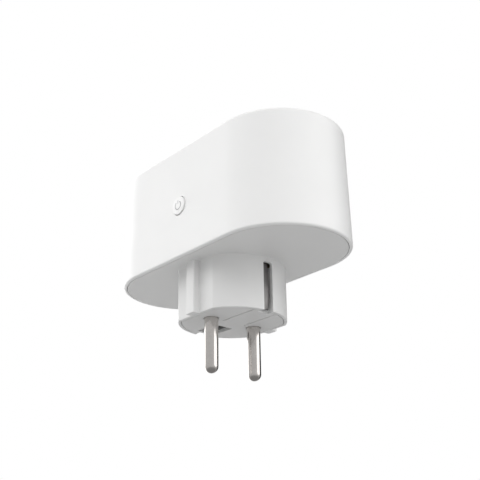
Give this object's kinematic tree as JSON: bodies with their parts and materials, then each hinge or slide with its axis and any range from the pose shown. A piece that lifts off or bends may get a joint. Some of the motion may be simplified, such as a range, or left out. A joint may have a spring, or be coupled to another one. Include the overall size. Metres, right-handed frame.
{
  "type": "plug in power meter",
  "caption": "Stadium-shaped plug-in power meter: an earthed round-pin plug below, earthed outlets on top and a push button in the side.",
  "frame": {"origin": "centre of the plug's flat end face, between the two pins", "axes": "+Z from the plug towards the outlets, X along the housing's length, Y through the two plug pins; the push button faces -Y"},
  "size_m": [0.0992, 0.0482, 0.08],
  "materials": {
    "housing_white": "fine satin moulded white plastic",
    "core_white": "satin white plastic of the pin carrier",
    "button_white": "slightly glossier white plastic",
    "shutter_plastic": "grey-white plastic",
    "nickel_plate": "nickel-plated brass, polished with fine drawing marks",
    "contact_brass": "bare stamped brass",
    "screw_steel": "zinc-plated steel",
    "black_plastic": "black moulded plastic",
    "circuit_board": "green solder mask on glass-fibre board",
    "relay_blue": "blue moulded relay case",
    "ferrite": "dark sintered ferrite",
    "winding_tape": "yellow insulating tape and moulding",
    "capacitor_sleeve": "dark shrink sleeve",
    "varistor_blue": "blue dipped coating",
    "ceramic_body": "pale ceramic body",
    "light_lens": "clear light-emitting lens"
  },
  "bodies": {
    "housing": {"outer_shell": "housing_white", "back_cover": "housing_white", "plug_core": "core_white", "plug_pin_line": "nickel_plate", "plug_pin_neutral": "nickel_plate", "plug_earth_yoke": "nickel_plate", "earth_pin_block": "black_plastic", "earth_pin_sleeve": "contact_brass", "socket_cup_a": "housing_white", "socket_cup_b": "housing_white", "shutter_guide_a": "shutter_plastic", "shutter_guide_b": "shutter_plastic", "socket_earth_clip_a": "nickel_plate", "socket_earth_clip_b": "nickel_plate", "load_contact_a": "contact_brass", "load_contact_b": "contact_brass", "neutral_contact_a": "contact_brass", "neutral_contact_b": "contact_brass", "neutral_bar": "contact_brass", "load_bar": "contact_brass", "earth_bar": "contact_brass", "main_board": "circuit_board", "board_screw_1": "screw_steel", "board_screw_2": "screw_steel", "board_screw_3": "screw_steel", "board_screw_4": "screw_steel", "relay": "relay_blue", "transformer_core": "ferrite", "transformer_winding": "winding_tape", "bulk_capacitor": "capacitor_sleeve", "output_capacitor": "capacitor_sleeve", "line_filter_capacitor": "winding_tape", "surge_varistor": "varistor_blue", "thermal_fuse": "ceramic_body", "current_shunt": "contact_brass", "metering_chip": "black_plastic", "wireless_board": "circuit_board", "radio_shield": "screw_steel", "button_switch": "black_plastic", "button_board": "circuit_board", "status_light": "light_lens"},
    "button": {"button_cap": "button_white", "switch_plunger": "black_plastic"},
    "guard_a": {"shutter_a": "shutter_plastic"},
    "guard_b": {"shutter_b": "shutter_plastic"}
  },
  "joints": [
    {"name": "button_press", "type": "slide", "parent": "housing", "child": "button", "axis": [0, 1, 0], "range_m": [0, 0.0006], "stiffness_N_per_m": 2500},
    {"name": "guard_a_turn", "type": "hinge", "parent": "housing", "child": "guard_a", "pos_m": [-0.0256, 0, 0.0407], "axis": [0, 0, 1], "range_deg": [0, 40], "stiffness_Nm_per_rad": 0.004},
    {"name": "guard_b_turn", "type": "hinge", "parent": "housing", "child": "guard_b", "pos_m": [0.0256, 0, 0.0407], "axis": [0, 0, 1], "range_deg": [0, 40], "stiffness_Nm_per_rad": 0.004}
  ]
}
